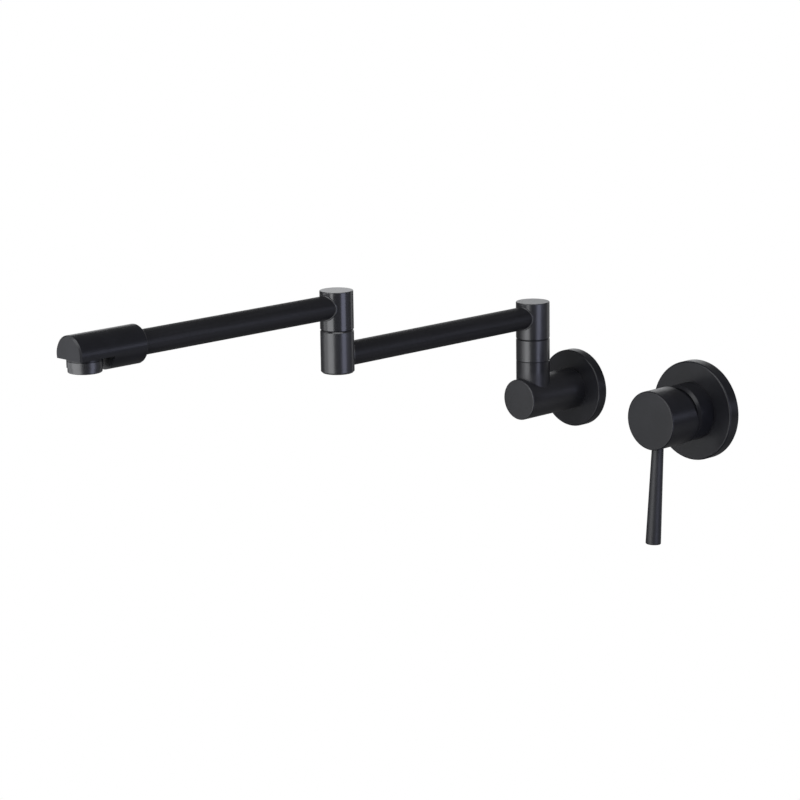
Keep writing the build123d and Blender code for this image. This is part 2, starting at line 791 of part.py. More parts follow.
# Carrier: it turns in the neck, with a slot that lets the stem tilt
slot_w = stem_w + 2 * turn_play
slot_low = -finger_len * sin(radians(lift_angle)) - finger_tip_d / 2 - face_play
slot_high = stem_w / 2 + carrier_above * tan(radians(lift_angle)) + face_play
with BuildPart() as cartridge_carrier:
    with BuildSketch(wall_plane(mixer_x, 0, carrier_back)):
        Circle(fixed_disc_r)
    extrude(amount=carrier_flange_t)
    with BuildSketch(wall_plane(mixer_x, 0, carrier_back)):
        Circle(carrier_r)
    extrude(amount=neck_front - carrier_back)
    with BuildSketch(wall_plane(mixer_x, (slot_low + slot_high) / 2, carrier_back)):
        Rectangle(slot_w, slot_high - slot_low)
    extrude(amount=neck_front - carrier_back, mode=Mode.SUBTRACT)
    with BuildSketch(Plane.YZ.offset(mixer_x)):
        with Locations((-pivot, 0)):
            Circle(pin_d / 2 + seat_play)
    extrude(amount=carrier_r, both=True, mode=Mode.SUBTRACT)
cartridge_carrier.part.label = "cartridge_carrier"
export_step(cartridge_carrier.part, "parts/cartridge_carrier.step")

# Pin that the stem tilts on
with BuildPart() as pivot_pin:
    with BuildSketch(Plane.YZ.offset(mixer_x)):
        with Locations((-pivot, 0)):
            Circle(pin_d / 2)
    extrude(amount=carrier_r - pin_inset, both=True)
pivot_pin.part.label = "pivot_pin"
export_step(pivot_pin.part, "parts/pivot_pin.step")

# Stem: a square bar for the handle, and a finger with a ball end that moves the disc
with BuildPart() as control_stem:
    with BuildSketch(wall_plane(mixer_x, 0, pivot - stem_down)):
        Rectangle(stem_w, stem_w)
    extrude(amount=stem_down + stem_up)
    with BuildSketch(wall_plane(mixer_x, 0, finger_tip)):
        Circle(finger_d / 2)
    extrude(amount=finger_len - stem_down)
    with Locations((mixer_x, -finger_tip, 0)):
        Sphere(finger_tip_d / 2)
    with BuildSketch(Plane.YZ.offset(mixer_x)):
        with Locations((-pivot, 0)):
            Circle(pin_d / 2 + turn_play)
    extrude(amount=stem_w, both=True, mode=Mode.SUBTRACT)
control_stem.part.label = "control_stem"
export_step(control_stem.part, "parts/control_stem.step")

# Driver that the stem's ball end pushes, clipped on the moving disc
with BuildPart() as disc_driver:
    with BuildSketch(wall_plane(mixer_x, disc_rise, moving_disc_front)):
        Circle(moving_disc_r)
        with Locations((0, -disc_rise)):
            Rectangle(finger_tip_d + 2 * turn_play, finger_tip_d + 2 * face_play, mode=Mode.SUBTRACT)
    extrude(amount=driver_t)
disc_driver.part.label = "disc_driver"
export_step(disc_driver.part, "parts/disc_driver.step")

# Moving ceramic disc, hollowed below to lead water from the inlets to the outlet
with BuildPart() as moving_disc:
    with BuildSketch(wall_plane(mixer_x, disc_rise, moving_disc_back)):
        Circle(moving_disc_r)
    extrude(amount=moving_disc_t)
    with BuildSketch(wall_plane(mixer_x, disc_rise, moving_disc_back)):
        Circle(mix_hollow_d / 2)
    extrude(amount=mix_hollow, mode=Mode.SUBTRACT)
moving_disc.part.label = "moving_disc"
export_step(moving_disc.part, "parts/moving_disc.step")

# The lever's line leans away from the wall below the handle
lean = radians(lever_lean)
lever_origin = (mixer_x, -lever_depth, 0)
lever_line = Axis(lever_origin, (0, -sin(lean), -cos(lean)))
lever_plane = Plane(origin=lever_origin, x_dir=(1, 0, 0), z_dir=(0, cos(lean), -sin(lean)))
lever_root = handle_r - lever_seat

# Handle: a barrel with a cup behind, a boss for the stem, and a rear edge cut back above for its tilt
with BuildPart() as handle:
    with BuildSketch(wall_plane(mixer_x, 0, handle_rear)):
        Circle(handle_r)
    extrude(amount=handle_len)
    fillet(handle.edges().group_by(Axis.Y)[0], radius=handle_edge)
    with BuildSketch(wall_plane(mixer_x, 0, handle_rear)):
        Circle(handle_r - handle_wall)
    extrude(amount=handle_cup, mode=Mode.SUBTRACT)
    with BuildSketch(wall_plane(mixer_x, 0, cup_floor)):
        Circle(stem_boss_r)
    extrude(amount=-stem_boss)
    with BuildSketch(wall_plane(mixer_x, 0, cup_floor - stem_boss)):
        Rectangle(stem_w + 2 * seat_play, stem_w + 2 * seat_play)
    extrude(amount=pivot + stem_up + face_play - cup_floor + stem_boss, mode=Mode.SUBTRACT)
    with BuildSketch(Plane.YZ.offset(mixer_x)):
        with BuildLine():
            Polyline(
                (-handle_rear, -relief_drop),
                (-handle_rear - (handle_r + relief_drop) * tan(radians(relief_angle)), handle_r),
                (-handle_rear, handle_r),
                close=True,
            )
        make_face()
    extrude(amount=handle_r, both=True, mode=Mode.SUBTRACT)
    with BuildSketch(lever_plane):
        with BuildLine():
            Polyline(
                (0, lever_root - lever_stud),
                (lever_stud_d / 2 + seat_play, lever_root - lever_stud),
                (lever_stud_d / 2 + seat_play, lever_root),
                (lever_root_d / 2 + seat_play, lever_root),
                (lever_root_d / 2 + seat_play, handle_r + lever_seat),
                (0, handle_r + lever_seat),
                close=True,
            )
        make_face()
    revolve(axis=lever_line, mode=Mode.SUBTRACT)
    with BuildSketch(Plane(origin=(mixer_x, -grub_depth, 0), z_dir=(0, 0, -1))):
        Circle(grub_d / 2 + seat_play)
    extrude(amount=stem_boss_r, mode=Mode.SUBTRACT)
    with BuildSketch(Plane(origin=(mixer_x, -grub_depth, -stem_boss_r), z_dir=(0, 0, -1))):
        Circle(plug_d / 2 + seat_play)
    extrude(amount=handle_r, mode=Mode.SUBTRACT)
handle.part.label = "handle"
export_step(handle.part, "parts/handle.step")

# Lever: a pin that swells towards its rounded tip, with a stud in the handle
with BuildPart() as lever:
    with BuildSketch(lever_plane):
        with BuildLine():
            Polyline(
                (0, lever_root - lever_stud),
                (lever_stud_d / 2, lever_root - lever_stud),
                (lever_stud_d / 2, lever_root),
                (lever_root_d / 2, lever_root),
                (lever_root_d / 2, handle_r),
                (lever_tip_d / 2, lever_reach),
                (0, lever_reach),
                close=True,
            )
        make_face()
    revolve(axis=lever_line)
    fillet(lever.edges().group_by(Axis.Z)[0], radius=lever_edge)
lever.part.label = "lever"
export_step(lever.part, "parts/lever.step")

# Grub screw through the boss, against the stem
grub_len = stem_boss_r - stem_w / 2 - face_play
with BuildPart() as handle_grub_screw:
    with BuildSketch(Plane(origin=(mixer_x, -grub_depth, -stem_w / 2), z_dir=(0, 0, -1))):
        Circle(grub_d / 2)
    extrude(amount=grub_len)
    with BuildSketch(Plane(origin=(mixer_x, -grub_depth, -stem_w / 2 - grub_len), z_dir=(0, 0, -1))):
        RegularPolygon(grub_hex / 2, 6, major_radius=False)
    extrude(amount=-grub_hex_depth, mode=Mode.SUBTRACT)
handle_grub_screw.part.label = "handle_grub_screw"
export_step(handle_grub_screw.part, "parts/handle_grub_screw.step")

# Plug in the grub screw's hole
with BuildPart() as grub_plug:
    with BuildSketch(Plane(origin=(mixer_x, -grub_depth, -handle_r + plug_inset), z_dir=(0, 0, 1))):
        Circle(plug_d / 2)
    extrude(amount=handle_wall - plug_inset)
grub_plug.part.label = "grub_plug"
export_step(grub_plug.part, "parts/grub_plug.step")
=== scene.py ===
import json
from math import atan2, copysign, cos, hypot, pi, radians, sin, sqrt

import bmesh
import bpy
from bpy.props import FloatProperty, FloatVectorProperty, IntProperty, PointerProperty
from mathutils import Matrix, Vector


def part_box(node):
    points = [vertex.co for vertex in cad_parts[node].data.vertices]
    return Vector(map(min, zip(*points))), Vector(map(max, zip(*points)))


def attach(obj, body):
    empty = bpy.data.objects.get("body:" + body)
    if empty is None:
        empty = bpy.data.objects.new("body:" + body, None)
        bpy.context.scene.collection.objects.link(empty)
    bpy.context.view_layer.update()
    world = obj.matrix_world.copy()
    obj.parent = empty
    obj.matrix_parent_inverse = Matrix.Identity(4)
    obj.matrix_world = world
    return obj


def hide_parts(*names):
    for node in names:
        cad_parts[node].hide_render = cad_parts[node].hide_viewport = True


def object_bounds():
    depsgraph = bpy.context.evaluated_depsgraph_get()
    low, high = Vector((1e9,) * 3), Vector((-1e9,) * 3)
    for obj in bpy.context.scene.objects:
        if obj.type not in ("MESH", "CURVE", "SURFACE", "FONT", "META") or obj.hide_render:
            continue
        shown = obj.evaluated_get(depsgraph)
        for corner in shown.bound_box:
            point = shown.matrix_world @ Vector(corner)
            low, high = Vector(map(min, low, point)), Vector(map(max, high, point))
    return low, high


bl_info = {
    "name": "Pot filler finish",
    "version": (1, 0, 0),
    "blender": (4, 5, 0),
    "location": "View3D > Sidebar > Pot filler",
    "description": "Finishes, threads, aerator and studio stage of a wall-mounted pot filler",
    "category": "Object",
}

# The packed pot filler, in metres: +X to the right along the wall, +Y into the wall, +Z up
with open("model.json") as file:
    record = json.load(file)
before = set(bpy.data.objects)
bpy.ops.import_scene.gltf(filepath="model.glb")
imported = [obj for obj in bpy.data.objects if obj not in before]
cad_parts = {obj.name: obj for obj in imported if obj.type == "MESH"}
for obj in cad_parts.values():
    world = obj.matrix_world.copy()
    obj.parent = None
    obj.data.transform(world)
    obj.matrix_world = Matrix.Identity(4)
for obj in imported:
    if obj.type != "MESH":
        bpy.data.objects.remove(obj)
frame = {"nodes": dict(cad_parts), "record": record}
cad_low, cad_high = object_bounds()
MM = 0.001

# The picture's width in pixels, the camera's sensor in millimetres and its sight in metres
IMAGE_PIXELS = 800
SENSOR_WIDTH = 36.0
FAR_CLIP = 50.0

# Limits for telling the points and faces of a packed mesh apart
MERGE = 0.001 * MM
CLOSE = 0.01 * MM
THREAD_ROOM = 0.02 * MM
BEVEL_ROOM = 1.0 * MM
BEVEL_SLOPE = (0.6, 0.8)
FACING = 0.999
# How deep the chamfer of the spout head's round side is, and how far from the flat that side gives way to it
SIDE_DEPTH = 1.3 * MM
SIDE_REACH = 8.5 * MM

# How round forms are divided
SHARP_ANGLE = radians(35)
RIM_STEPS = 96
LEAST_STEPS = 12
BEAD_SIDES = 16
CELL_SIDES = 6
RIDGE_SIDES = 3

# The part of its range that noise mostly fills
NOISE_LOW = 0.35
NOISE_HIGH = 0.65
# Shares of the stub's height between which the post's paint turns glossy
GLOSS_RISE = (0.6, 0.75)

# Finishes that no material slot has
COLUMNS = "columns"
POST = "post"
LEVER = "lever"
ELBOW_HEAD = "elbow_head"
HEAD_FACE = "head_face"
# Finishes of the spout head, in the order of its mesh's materials
HEAD_FINISHES = ("satin_black", COLUMNS, HEAD_FACE)
# Highest brightness that a setting takes
BRIGHTEST = 100.0
# Soft panels: brightness, middle, azimuth and elevation in degrees, width, height and colour
PANELS = {
    "key panel": ("key", (0.1575, -1.0775, -0.05), -45, 0, 0.94, 1.2, "plain"),
    "fringe panel": ("fringe", (0.065, -0.965, -0.05), -45, 0, 1.202, 1.2, "plain"),
    "left panel": ("left", (-1.0, -1.0, -0.1), -45, 0, 0.6, 1.2, "plain"),
    "side panel": ("side", (1.4, -0.16, -0.1), 90, 0, 0.78, 1.4, "cool"),
    "low strip": ("strip", (1.07, 0.59, 0.12), 134, 0, 0.45, 0.24, "cool"),
    "low panel": ("low", (1.2, 0.75, -0.7), 122, -20, 1.2, 0.7, "plain"),
    "middle panel": ("behind", (0.2, 1.5, -0.3), 180, 0, 0.9, 1.2, "plain"),
    "top panel": ("top", (0.54, -1.19, 1.27), 30, 48, 3.2, 0.9, "plain"),
    "back panel": ("back", (-1.1, 1.5, 0.5), 215, 12, 2.4, 0.9, "plain"),
}
# Pieces whose black differs from that of their material slot
SPECIAL_FINISH = {
    "base_post": POST, "lever": LEVER, "base_collar": COLUMNS, "shoulder_head": COLUMNS,
    "elbow_base": COLUMNS, "elbow_head": ELBOW_HEAD, "aerator_housing": COLUMNS,
}


def radius_of(node):
    """Radius of a round node, from its width along the wall."""
    low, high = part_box(node)
    return (high.x - low.x) / 2


def middle_of(node):
    """Middle of a node's box."""
    low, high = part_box(node)
    return (low + high) / 2


def outward(point, axis):
    """The level way to a point from an upright axis."""
    return Vector((point.x - axis.x, point.y - axis.y, 0.0))


def length(label, about, default):
    """A length that a user may change, in metres."""
    return FloatProperty(name=label, description=about, default=default, unit="LENGTH", precision=5)


def share(label, about, default, top=1.0):
    """A plain number from 0 to its highest value."""
    return FloatProperty(name=label, description=about, default=default, min=0.0, max=top, precision=4)


def angle(label, about, degrees):
    """An angle, given in degrees."""
    return FloatProperty(name=label, description=about, default=radians(degrees), subtype="ANGLE")


def count(label, about, default, top):
    """A number of steps."""
    return IntProperty(name=label, description=about, default=default, min=LEAST_STEPS, max=top)


def colour(label, about, default):
    """A colour, in linear light."""
    return FloatVectorProperty(
        name=label, description=about, default=default, subtype="COLOR", min=0.0, max=1.0)


class PotFillerFinish(bpy.types.PropertyGroup):
    """Colours and gloss of the surfaces"""

    paint: colour("Paint", "Satin black of the covers, the handle and the spout's head",
                  (0.009, 0.0093, 0.0115))
    paint_pale: colour("Paint, pale", "Palest mottle of that paint", (0.0135, 0.0138, 0.017))
    paint_roughness: share("Paint roughness", "Roughness of the paint where it is smoothest", 0.28)
    paint_shine: share("Paint shine", "Mirror reflection of the paint", 0.4)
    face_shine: share("Face shine", "Mirror reflection of the spout head's front face", 0.27)
    column: colour("Columns", "Black finish of the columns and the aerator", (0.009, 0.0093, 0.0115))
    column_pale: colour("Columns, pale", "Palest mottle of that finish", (0.0135, 0.0138, 0.017))
    column_roughness: share("Column roughness", "Roughness of the columns where they are smoothest", 0.29)
    column_shine: share("Column shine", "Mirror reflection of the columns", 1.0)
    elbow_roughness: share("Elbow roughness", "Roughness of the elbow's head where it is smoothest", 0.2)
    post_roughness: share("Post roughness", "Roughness of the post below its stub", 0.4)
    post_shine: share("Post shine", "Mirror reflection of the post and its stub", 0.75)
    lever_roughness: share("Lever roughness", "Roughness of the lever where it is smoothest", 0.47)
    lever_shine: share("Lever shine", "Mirror reflection of the lever", 0.57)
    tube: colour("Tube", "Paint of the arm tubes", (0.0105, 0.0105, 0.0122))
    tube_pale: colour("Tube, pale", "Palest streaks along the arm tubes", (0.015, 0.015, 0.0172))
    tube_roughness: share("Tube roughness", "Roughness of the arm tubes where they are smoothest", 0.4)
    tube_shine: share("Tube shine", "Mirror reflection of the arm tubes", 0.35)
    brass: colour("Brass", "Machined brass", (0.71, 0.5, 0.2))
    steel: colour("Steel", "Turned stainless steel", (0.56, 0.56, 0.57))
    rubber: colour("Rubber", "Seals and washers", (0.012, 0.012, 0.013))
    foam: colour("Foam", "Gaskets behind the wall covers", (0.035, 0.035, 0.037))
    white_plastic: colour("White plastic", "Moulded parts of the cartridge", (0.62, 0.6, 0.55))
    grey_plastic: colour("Grey plastic", "Moulded parts of the aerator", (0.16, 0.165, 0.17))
    black_plastic: colour("Black plastic", "Thrust washers and the plug in the handle",
                          (0.014, 0.014, 0.015))
    ceramic: colour("Ceramic", "Lapped discs of the cartridge", (0.78, 0.76, 0.71))


class PotFillerThreads(bpy.types.PropertyGroup):
    """Sizes of the threads that go into the wall"""

    inlet_pitch: length("Inlet pitch", "Pitch of the half inch pipe thread", 1.814 * MM)
    inlet_depth: length("Inlet depth", "Depth of that thread", 1.16 * MM)
    inlet_bore: length("Inlet bore", "Bore of the inlet nipple", 15.0 * MM)
    tail_pitch: length("Tail pitch", "Pitch of the hose thread", 1.0 * MM)
    tail_depth: length("Tail depth", "Depth of that thread", 0.6 * MM)
    tail_bore: length("Tail bore", "Bore of the three tails", 6.4 * MM)
    shank_drop: length("Shank drop", "Step from a thread's crest down to the plain shank", 0.4 * MM)
    end_chamfer: length("End chamfer", "Chamfer at each end of a threaded piece", 0.3 * MM)
    steps: count("Steps", "Steps in each turn of a thread", 64, 128)


class PotFillerAerator(bpy.types.PropertyGroup):
    """Sizes of the honeycomb under the spout"""

    cell: length("Cell", "Width of a cell across its flats", 1.5 * MM)
    web: length("Web", "Wall between two cells", 0.22 * MM)
    rim: length("Rim", "Width of the ring round the cells", 0.9 * MM)
    play: length("Play", "Gap between the walls of two cells", 0.01 * MM)


class PotFillerEdges(bpy.types.PropertyGroup):
    """Sizes of the edges that differ from the packed ones"""

    step_shift: length("Step shift", "How much closer to the aerator the spout's flat ends", 3.2 * MM)
    flat_rise: length("Flat rise", "How much higher the flat under the spout is", 2.0 * MM)
    seam_gap: length("Seam gap", "Height of the seam above the aerator", 0.4 * MM)
    seam_depth: length("Seam depth", "Depth of that seam", 0.5 * MM)
    lip_shift: length("Lip shift", "How much wider the top of the bevel on the elbow's lip is", 0.38 * MM)
    ring_shift: length("Ring shift", "How much further out the wall of the aerator's ring is", 0.45 * MM)


class PotFillerBeads(bpy.types.PropertyGroup):
    """Size of the brazed beads where the arms enter the columns"""

    radius: length("Radius", "Radius of a bead", 0.7 * MM)
    steps: count("Steps", "Steps along a bead", 96, 256)


class PotFillerStage(bpy.types.PropertyGroup):
    """Camera, lights and floor"""

    azimuth: angle("Azimuth", "Camera's angle from the wall's normal, to the right", 45.59)
    elevation: angle("Elevation", "Camera's angle above level", 12.14)
    roll: angle("Roll", "Camera's turn about its own line", -0.83)
    distance: length("Distance", "From the camera to the point it looks at", 2.1727)
    aim: FloatVectorProperty(name="Aim", description="Point in the middle of the picture",
                             default=(-0.00925, -0.1892, 0.01806), subtype="XYZ", unit="LENGTH")
    focal_pixels: share("Focal length", "Focal length in pixels of an 800 pixel picture", 2883.39, 10000.0)
    floor_drop: length("Floor", "Height of the floor below the pot filler", 0.6)
    floor_reach: length("Floor reach", "From the middle of the floor to its edges", 6.0)
    backdrop: colour("Backdrop", "Floor and background", (1.0, 1.0, 1.0))
    ambient: share("Ambient", "Brightness of the room", 0.12, BRIGHTEST)
    key: share("Key", "Brightness of the tall panel in front of the spout", 1.45, BRIGHTEST)
    fringe: share("Fringe", "Brightness of the wider panel round that one", 0.93, BRIGHTEST)
    left: share("Left", "Brightness of the far panel on the left", 0.16, BRIGHTEST)
    side: share("Side", "Brightness of the cool panel on the right", 1.7, BRIGHTEST)
    strip: share("Strip", "Brightness of the cool strip behind the wall, on the right", 2.2, BRIGHTEST)
    low: share("Low", "Brightness of the panel below that strip", 0.15, BRIGHTEST)
    behind: share("Behind", "Brightness of the panel straight behind the wall", 0.47, BRIGHTEST)
    top: share("Top", "Brightness of the panel above", 2.0, BRIGHTEST)
    back: share("Back", "Brightness of the panel behind the wall, on the left", 0.93, BRIGHTEST)
    cool: colour("Cool", "Colour of the cool panels", (0.72, 0.75, 1.0))
    plain: colour("Plain", "Colour of the other panels", (0.97, 0.98, 1.0))


def fed_node(tree, kind, values, **settings):
    """A new node with its settings, and its inputs set to plain values or linked to other sockets."""
    node = tree.nodes.new(kind)
    for name, setting in settings.items():
        setattr(node, name, setting)
    for label, value in values.items():
        if isinstance(value, bpy.types.NodeSocket):
            tree.links.new(value, node.inputs[label])
        else:
            node.inputs[label].default_value = value
    return node


def new_material(name):
    """A node material, with its shader and its object coordinates."""
    material = bpy.data.materials.new(name)
    material.use_nodes = True
    nodes = material.node_tree.nodes
    coordinates = nodes.new("ShaderNodeTexCoord")
    return material, nodes["Principled BSDF"], coordinates.outputs["Object"]


def noise(material, vector, scale, detail, stretch=(1.0, 1.0, 1.0)):
    """Noise of a scale in features to the metre, stretched along the object's axes."""
    mapping = fed_node(material.node_tree, "ShaderNodeMapping", {"Vector": vector, "Scale": stretch})
    texture = fed_node(material.node_tree, "ShaderNodeTexNoise", {
        "Vector": mapping.outputs["Vector"], "Scale": scale, "Detail": detail,
    })
    return texture.outputs["Fac"]


def mottled_tone(material, shader, value, dark, pale, start=NOISE_LOW, end=NOISE_HIGH):
    """Base colour between two tones, led by a value such as noise."""
    ramp = fed_node(material.node_tree, "ShaderNodeValToRGB", {"Fac": value})
    for stop, position, tone in zip(ramp.color_ramp.elements, (start, end), (dark, pale)):
        stop.position = position
        stop.color = (*tone, 1.0)
    material.node_tree.links.new(ramp.outputs["Color"], shader.inputs["Base Color"])


def mottled_gloss(material, shader, value, low, high, start=NOISE_LOW, end=NOISE_HIGH):
    """Roughness between two limits, led by a value such as noise."""
    node = fed_node(material.node_tree, "ShaderNodeMapRange", {
        "Value": value, "From Min": start, "From Max": end, "To Min": low, "To Max": high,
    })
    material.node_tree.links.new(node.outputs["Result"], shader.inputs["Roughness"])


def bumps(material, shader, heights, strength, depth):
    """Small relief on the surface."""
    node = fed_node(material.node_tree, "ShaderNodeBump", {
        "Height": heights, "Strength": strength, "Distance": depth,
    })
    material.node_tree.links.new(node.outputs["Normal"], shader.inputs["Normal"])


def scaled(tone, by):
    """A colour made darker or paler."""
    return tuple(min(1.0, part * by) for part in tone)


def orange_peel(material, shader, place, strength):
    """The fine relief of sprayed paint."""
    peel = noise(material, place, scale=2600.0, detail=3.0)
    bumps(material, shader, peel, strength, depth=0.02 * MM)


def peeled_black(name, dark, pale, shine):
    """Black paint with a fine orange peel and a faint change of tone, before its gloss is set."""
    material, shader, place = new_material(name)
    mottled_tone(material, shader, noise(material, place, scale=45.0, detail=3.0), dark, pale)
    orange_peel(material, shader, place, strength=0.003)
    shader.inputs["Specular IOR Level"].default_value = shine
    return material, shader, place


def black_paint(name, dark, pale, roughness, shine, spread=0.03):
    """Black paint with a mottled gloss."""
    material, shader, place = peeled_black(name, dark, pale, shine)
    mottle = noise(material, place, scale=420.0, detail=4.0)
    mottled_gloss(material, shader, mottle, roughness, roughness + spread)
    return material


def post_paint(finish):
    """Black paint of the post: satin, but as glossy as the columns on its stub."""
    material, shader, place = peeled_black(
        "post black paint", finish.column, finish.column_pale, finish.post_shine)
    height = fed_node(material.node_tree, "ShaderNodeSeparateXYZ", {"Vector": place}).outputs["Z"]
    start, end = (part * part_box("base_collar")[0].z for part in GLOSS_RISE)
    mottled_gloss(material, shader, height, finish.post_roughness, finish.column_roughness, start, end)
    return material


def tube_paint(finish, spread=0.09):
    """Paint on drawn tube: faint streaks along the arm."""
    material, shader, place = new_material("black tube paint")
    streaks = noise(material, place, scale=500.0, detail=3.0, stretch=(1.0, 0.04, 1.0))
    mottled_tone(material, shader, streaks, finish.tube, finish.tube_pale)
    mottle = noise(material, place, scale=300.0, detail=4.0)
    mottled_gloss(material, shader, mottle, finish.tube_roughness, finish.tube_roughness + spread)
    orange_peel(material, shader, place, strength=0.006)
    shader.inputs["Specular IOR Level"].default_value = finish.tube_shine
    return material


def turned_metal(name, tone, roughness, spread=0.14):
    """Machined metal with fine tool marks round an axis square to the wall."""
    material, shader, place = new_material(name)
    stains = noise(material, place, scale=90.0, detail=4.0)
    mottled_tone(material, shader, stains, scaled(tone, by=0.78), scaled(tone, by=1.08))
    marks = noise(material, place, scale=5200.0, detail=2.0, stretch=(0.02, 1.0, 0.02))
    mottled_gloss(material, shader, marks, roughness, roughness + spread)
    bumps(material, shader, marks, strength=0.2, depth=0.02 * MM)
    shader.inputs["Metallic"].default_value = 1.0
    return material


def moulded(name, tone, roughness, grain, relief=0.01 * MM, spread=0.12):
    """Moulded plastic or rubber: a fine grain and a slight cloud in its colour."""
    material, shader, place = new_material(name)
    cloud = noise(material, place, scale=160.0, detail=3.0)
    mottled_tone(material, shader, cloud, scaled(tone, by=0.85), scaled(tone, by=1.15))
    skin = noise(material, place, scale=grain, detail=3.0)
    mottled_gloss(material, shader, skin, roughness, roughness + spread)
    bumps(material, shader, skin, strength=0.25, depth=relief)
    return material


def foam_rubber(tone):
    """Closed-cell foam: round cells with thin walls."""
    material, shader, place = new_material("closed cell foam")
    texture = fed_node(material.node_tree, "ShaderNodeTexVoronoi", {"Vector": place, "Scale": 1600.0})
    cells = texture.outputs["Distance"]
    mottled_tone(material, shader, cells, scaled(tone, by=0.5), scaled(tone, by=1.3), start=0.1, end=0.6)
    mottled_gloss(material, shader, cells, low=0.75, high=0.95)
    bumps(material, shader, cells, strength=0.5, depth=0.15 * MM)
    return material


def lapped_ceramic(tone):
    """Lapped alumina: nearly white, with faint specks."""
    material, shader, place = new_material("lapped ceramic")
    specks = noise(material, place, scale=1900.0, detail=5.0)
    mottled_tone(material, shader, specks, scaled(tone, by=0.86), tone, start=0.3, end=0.5)
    mottled_gloss(material, shader, specks, low=0.16, high=0.26)
    bumps(material, shader, specks, strength=0.05, depth=0.01 * MM)
    return material


def finish_materials(finish):
    """One material for each material slot of the record, and for each finish that no slot has."""
    paint = finish.paint, finish.paint_pale
    column = finish.column, finish.column_pale
    return {
        "satin_black": black_paint("satin black paint", *paint, finish.paint_roughness, finish.paint_shine),
        "black_tube": tube_paint(finish),
        "brass": turned_metal("turned brass", finish.brass, roughness=0.22),
        "steel": turned_metal("turned steel", finish.steel, roughness=0.26),
        "seal_rubber": moulded("seal rubber", finish.rubber, roughness=0.5, grain=2400.0, relief=0.02 * MM),
        "foam": foam_rubber(finish.foam),
        "bearing_plastic": moulded("bearing plastic", finish.black_plastic, roughness=0.35, grain=1800.0),
        "cartridge_plastic": moulded(
            "cartridge plastic", finish.white_plastic, roughness=0.38, grain=1500.0),
        "aerator_plastic": moulded("aerator plastic", finish.grey_plastic, roughness=0.32, grain=1500.0),
        "black_plastic": moulded("plug plastic", finish.black_plastic, roughness=0.4, grain=1800.0),
        "ceramic": lapped_ceramic(finish.ceramic),
        COLUMNS: black_paint("column black paint", *column, finish.column_roughness, finish.column_shine),
        ELBOW_HEAD: black_paint("elbow head paint", *column, finish.elbow_roughness, finish.column_shine),
        POST: post_paint(finish),
        LEVER: black_paint("lever black paint", *column, finish.lever_roughness, finish.lever_shine),
        HEAD_FACE: black_paint("head face paint", *paint, finish.paint_roughness, finish.face_shine),
    }


def material_named(slot):
    """The material that was made for a material slot or a finish."""
    return bpy.data.materials[bpy.context.scene["pot_filler_slots"][slot]]


def mesh_of(work, name):
    """Keeps what was worked out as a mesh, and frees the work."""
    mesh = bpy.data.meshes.new(name)
    work.to_mesh(mesh)
    work.free()
    return mesh


def turned_mesh(name, outline, segments):
    """A mesh turned about Z from an outline of (radius, height) points that closes on itself."""
    work = bmesh.new()
    turns = [2 * pi * step / segments for step in range(segments)]
    rings = [[work.verts.new((r * cos(t), r * sin(t), h)) for t in turns] for r, h in outline]
    for lower, upper in zip(rings, rings[1:] + rings[:1]):
        for step in range(segments):
            following = (step + 1) % segments
            work.faces.new((lower[step], lower[following], upper[following], upper[step]))
    bmesh.ops.recalc_face_normals(work, faces=work.faces)
    return mesh_of(work, name)


def new_piece(name, mesh):
    """An object of a mesh, linked to the scene."""
    piece = bpy.data.objects.new(name, mesh)
    bpy.context.scene.collection.objects.link(piece)
    return piece


def new_tree(name, numbers, whole_number):
    """An empty geometry tree that takes named values, with the sockets and the identifiers of these."""
    tree = bpy.data.node_groups.new(name, "GeometryNodeTree")
    kinds = {
        "Geometry": "NodeSocketGeometry", **dict.fromkeys(numbers, "NodeSocketFloat"),
        whole_number: "NodeSocketInt", "Material": "NodeSocketMaterial",
    }
    identifiers = {
        label: tree.interface.new_socket(label, in_out="INPUT", socket_type=kind).identifier
        for label, kind in kinds.items()
    }
    tree.interface.new_socket("Geometry", in_out="OUTPUT", socket_type="NodeSocketGeometry")
    return tree, tree.nodes.new("NodeGroupInput").outputs, identifiers


def grown(piece, tree, identifiers, values):
    """Runs a geometry tree on a piece and keeps the result as its plain mesh."""
    modifier = piece.modifiers.new(tree.name, "NODES")
    modifier.node_group = tree
    for label, value in values.items():
        modifier[identifiers[label]] = value
    bpy.context.view_layer.update()
    evaluated = piece.evaluated_get(bpy.context.evaluated_depsgraph_get())
    mesh = bpy.data.meshes.new_from_object(evaluated)
    piece.modifiers.remove(modifier)
    piece.data = mesh


def settled(piece, place, body, slot, *nodes):
    """Moves a piece's mesh to its place and sets it on its body, for the nodes that it stands for."""
    work = bmesh.new()
    work.from_mesh(piece.data)
    bmesh.ops.recalc_face_normals(work, faces=work.faces)
    work.to_mesh(piece.data)
    work.free()
    piece.data.transform(place)
    piece.data.shade_smooth()
    piece.data.set_sharp_from_angle(angle=SHARP_ANGLE)
    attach(piece, body)
    if nodes:
        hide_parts(*nodes)


def math_node(tree, operation, *values):
    """A number worked out from others, each a socket or a plain number."""
    return fed_node(tree, "ShaderNodeMath", dict(enumerate(values)), operation=operation).outputs[0]


def circle_of(tree, steps, radius):
    """A level circle, as a curve."""
    circle = fed_node(tree, "GeometryNodeCurvePrimitiveCircle", {"Resolution": steps, "Radius": radius})
    return circle.outputs["Curve"]


def upright(tree, line):
    """A curve whose normals follow Z, so that a section swept along it stays upright."""
    return fed_node(tree, "GeometryNodeSetCurveNormal", {"Curve": line}, mode="Z_UP").outputs["Curve"]


